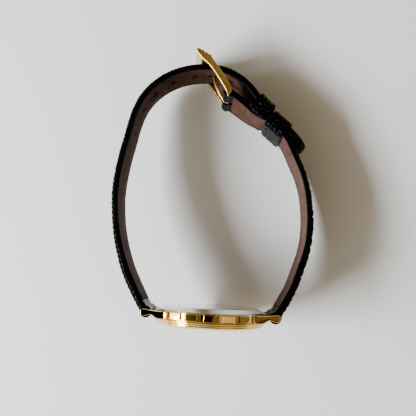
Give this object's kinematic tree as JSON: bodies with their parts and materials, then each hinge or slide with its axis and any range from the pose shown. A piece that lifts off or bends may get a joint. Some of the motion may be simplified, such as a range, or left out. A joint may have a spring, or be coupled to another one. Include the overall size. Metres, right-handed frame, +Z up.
{
  "type": "round case watch",
  "caption": "Slim round quartz dress watch with a faceted gold case side, on a two-piece black grained leather strap buckled into a loop and lying on its side.",
  "frame": {"origin": "centre of the bounding box at the surface the watch lies on", "axes": "+Z up from the table; +Y from the case towards the buckle, out through the case back; +X towards 12 o'clock; 9 o'clock side faces up"},
  "size_m": [0.052, 0.0728, 0.0306],
  "materials": {
    "gold_case": "polished gold plate",
    "gold_buckle": "polished gold plate",
    "steel_back": "fine satin with a polished bevel",
    "crystal_glass": "clear polished",
    "dial_enamel": "satin",
    "gold_markers": "polished",
    "movement_plastic": "matte",
    "movement_brass": "satin",
    "movement_steel": "satin",
    "rotor_magnet": "dark grey",
    "battery_steel": "satin",
    "coil_copper": "enamelled wire",
    "circuit_green": "solder mask",
    "chip_black": "matte",
    "seal_rubber": "matte",
    "spring_bar_steel": "bright",
    "black_leather": "glazed lizard grain",
    "lining_leather": "matte calf lining"
  },
  "bodies": {
    "root": {"mid_case": "gold_case", "bezel": "gold_case", "crystal": "crystal_glass", "crystal_gasket": "movement_plastic", "dial": "dial_enamel", "hour_markers": "gold_markers", "movement_holder": "movement_plastic", "main_plate": "movement_brass", "train_bridge": "movement_steel", "movement_screws": "movement_steel", "battery": "battery_steel", "battery_clamp": "movement_steel", "coil_winding": "coil_copper", "coil_core": "movement_steel", "stator": "movement_steel", "circuit_board": "circuit_green", "quartz_can": "movement_steel", "control_chip": "chip_black", "stem_tube": "movement_steel", "case_back": "steel_back", "back_gasket": "seal_rubber", "spring_bar_tube_12": "spring_bar_steel", "spring_bar_tube_6": "spring_bar_steel", "buckle_bar_tube": "spring_bar_steel", "spring_bar_springs": "spring_bar_steel", "strap_12_upper": "black_leather", "strap_12_lining": "lining_leather", "strap_6_upper": "black_leather", "strap_6_lining": "lining_leather", "fixed_keeper": "black_leather"},
    "clutch": {"clutch_pinion": "movement_steel"},
    "crown_and_stem": {"winding_stem": "movement_steel", "crown": "gold_case", "crown_gasket": "seal_rubber"},
    "lever": {"setting_lever": "movement_steel"},
    "minute_group": {"center_wheel": "movement_brass", "minute_hand": "gold_markers"},
    "hour_group": {"hour_wheel": "movement_brass", "hour_hand": "gold_markers"},
    "minute_wheel_body": {"minute_wheel": "movement_brass"},
    "setting_wheel_body": {"setting_wheel": "movement_brass"},
    "intermediate_wheel_body": {"intermediate_wheel": "movement_brass"},
    "rotor_body": {"rotor": "rotor_magnet"},
    "sliding_keeper": {"free_keeper": "black_leather"},
    "buckle": {"buckle_frame": "gold_buckle"},
    "tongue": {"buckle_tongue": "gold_buckle"},
    "spring_bar_tip_12_a_body": {"spring_bar_tip_12_a": "spring_bar_steel"},
    "spring_bar_tip_12_b_body": {"spring_bar_tip_12_b": "spring_bar_steel"},
    "spring_bar_tip_6_a_body": {"spring_bar_tip_6_a": "spring_bar_steel"},
    "spring_bar_tip_6_b_body": {"spring_bar_tip_6_b": "spring_bar_steel"},
    "buckle_bar_tip_a_body": {"buckle_bar_tip_a": "spring_bar_steel"},
    "buckle_bar_tip_b_body": {"buckle_bar_tip_b": "spring_bar_steel"}
  },
  "joints": [
    {"name": "crown_turn", "type": "hinge", "parent": "root", "child": "clutch", "pos_m": [-0.00003, -0.03281, 0.01048], "axis": [-0.1421, -0.1425, -0.9795], "continuous": true},
    {"name": "crown_pull", "type": "slide", "parent": "clutch", "child": "crown_and_stem", "axis": [-0.1421, -0.1425, -0.9795], "range_m": [0, 0.001]},
    {"name": "setting_lever_swing", "type": "hinge", "parent": "root", "child": "lever", "pos_m": [0.00149, -0.03246, 0.0073], "axis": [0, -0.9896, 0.144], "range_deg": [0, 29.2]},
    {"name": "hands_turn", "type": "hinge", "parent": "root", "child": "minute_group", "pos_m": [0.00082, -0.03166, 0.01631], "axis": [0, 0.9896, -0.144], "continuous": true},
    {"name": "hour_turn", "type": "hinge", "parent": "root", "child": "hour_group", "pos_m": [0.00082, -0.03215, 0.01638], "axis": [0, 0.9896, -0.144], "continuous": true},
    {"name": "minute_wheel_turn", "type": "hinge", "parent": "root", "child": "minute_wheel_body", "pos_m": [0.00056, -0.03221, 0.01459], "axis": [0, 0.9896, -0.144], "continuous": true},
    {"name": "setting_wheel_turn", "type": "hinge", "parent": "root", "child": "setting_wheel_body", "pos_m": [0.00026, -0.03251, 0.01253], "axis": [0, 0.9896, -0.144], "continuous": true},
    {"name": "intermediate_turn", "type": "hinge", "parent": "root", "child": "intermediate_wheel_body", "pos_m": [0.00327, -0.03122, 0.01724], "axis": [0, 0.9896, -0.144], "continuous": true},
    {"name": "rotor_turn", "type": "hinge", "parent": "root", "child": "rotor_body", "pos_m": [0.00515, -0.03088, 0.01815], "axis": [0, 0.9896, -0.144], "continuous": true},
    {"name": "keeper_slide", "type": "slide", "parent": "root", "child": "sliding_keeper", "axis": [0.7583, -0.6518, -0.0152], "range_m": [-0.0003, 0.0004]},
    {"name": "buckle_frame_swing", "type": "hinge", "parent": "root", "child": "buckle", "pos_m": [0.0025, 0.02417, 0.00794], "axis": [0.1893, 0.1729, 0.9666], "range_deg": [0, 5]},
    {"name": "tongue_swing", "type": "hinge", "parent": "root", "child": "tongue", "pos_m": [0.0025, 0.02417, 0.00794], "axis": [0.1893, 0.1729, 0.9666], "range_deg": [-8, 0]},
    {"name": "spring_bar_12_a_press", "type": "slide", "parent": "root", "child": "spring_bar_tip_12_a_body", "axis": [-0.1421, -0.1425, -0.9795], "range_m": [0, 0.00085], "stiffness_N_per_m": 120, "springref_m": -0.001},
    {"name": "spring_bar_12_b_press", "type": "slide", "parent": "root", "child": "spring_bar_tip_12_b_body", "axis": [0.1421, 0.1425, 0.9795], "range_m": [0, 0.00085], "stiffness_N_per_m": 120, "springref_m": -0.001},
    {"name": "spring_bar_6_a_press", "type": "slide", "parent": "root", "child": "spring_bar_tip_6_a_body", "axis": [-0.1421, -0.1425, -0.9795], "range_m": [0, 0.00085], "stiffness_N_per_m": 120, "springref_m": -0.001},
    {"name": "spring_bar_6_b_press", "type": "slide", "parent": "root", "child": "spring_bar_tip_6_b_body", "axis": [0.1421, 0.1425, 0.9795], "range_m": [0, 0.00085], "stiffness_N_per_m": 120, "springref_m": -0.001},
    {"name": "buckle_bar_a_press", "type": "slide", "parent": "root", "child": "buckle_bar_tip_a_body", "axis": [-0.1893, -0.1729, -0.9666], "range_m": [0, 0.00125], "stiffness_N_per_m": 100, "springref_m": -0.001},
    {"name": "buckle_bar_b_press", "type": "slide", "parent": "root", "child": "buckle_bar_tip_b_body", "axis": [0.1893, 0.1729, 0.9666], "range_m": [0, 0.00125], "stiffness_N_per_m": 100, "springref_m": -0.001}
  ],
  "couplings": [
    {"joint": "setting_lever_swing", "follows": "crown_pull", "rad_per_m": 502.65},
    {"joint": "hour_turn", "follows": "hands_turn", "ratio": 0.083333},
    {"joint": "minute_wheel_turn", "follows": "hands_turn", "ratio": -0.33333},
    {"joint": "setting_wheel_turn", "follows": "hands_turn", "ratio": 0.6},
    {"joint": "intermediate_turn", "follows": "hands_turn", "ratio": -10},
    {"joint": "rotor_turn", "follows": "hands_turn", "ratio": 90}
  ]
}
